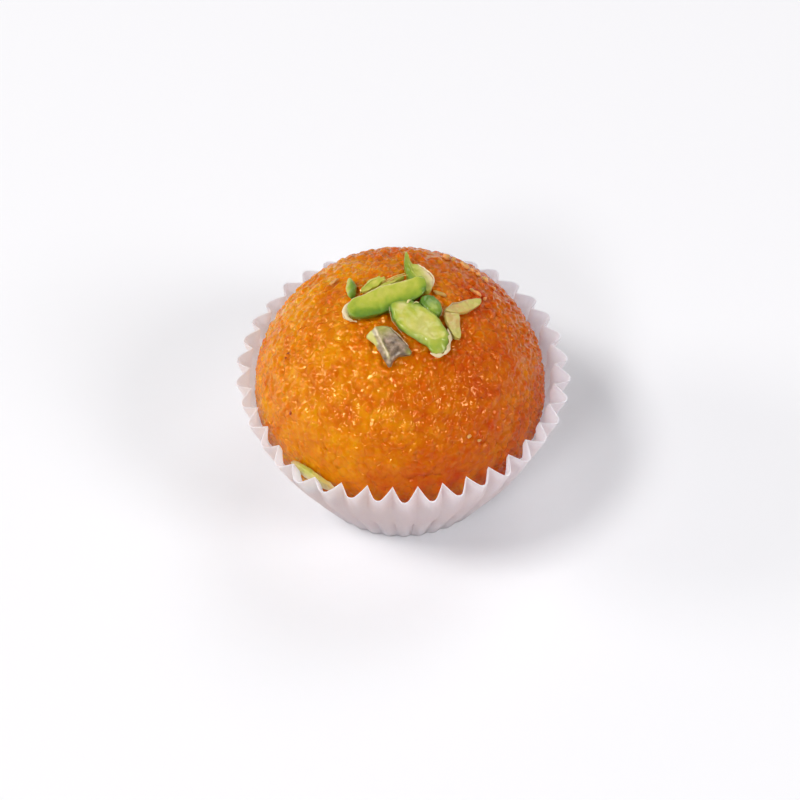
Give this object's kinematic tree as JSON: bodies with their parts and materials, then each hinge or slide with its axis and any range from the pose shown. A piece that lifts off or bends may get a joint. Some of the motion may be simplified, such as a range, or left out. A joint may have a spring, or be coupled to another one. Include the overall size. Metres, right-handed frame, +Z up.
{
  "type": "motichoor ladoo",
  "caption": "Round orange sweet of fine fried pearls in a fluted white paper case, topped with cut pistachios.",
  "frame": {"origin": "centre of the round foot of the paper case, on the surface that it stands on", "axes": "+Z up through the sweet; -Y is the side with the pistachio piece that still has its purple skin"},
  "size_m": [0.0548, 0.055, 0.0445],
  "materials": {
    "boondi": "gloss",
    "paper": "matte",
    "pistachio": "satin",
    "pistachio_skin": "satin"
  },
  "bodies": {
    "root": {"ladoo": "boondi", "paper_case": "paper", "pistachio_long_slice": "pistachio", "pistachio_half_kernel": "pistachio", "pistachio_end_piece": "pistachio", "pistachio_pointed_slice": "pistachio", "pistachio_shred_a": "pistachio", "pistachio_shred_b": "pistachio", "pistachio_chip": "pistachio", "pistachio_skin_piece": "pistachio_skin", "pistachio_sliver": "pistachio", "pistachio_strip": "pistachio", "pistachio_tucked_sliver": "pistachio"}
  },
  "joints": []
}
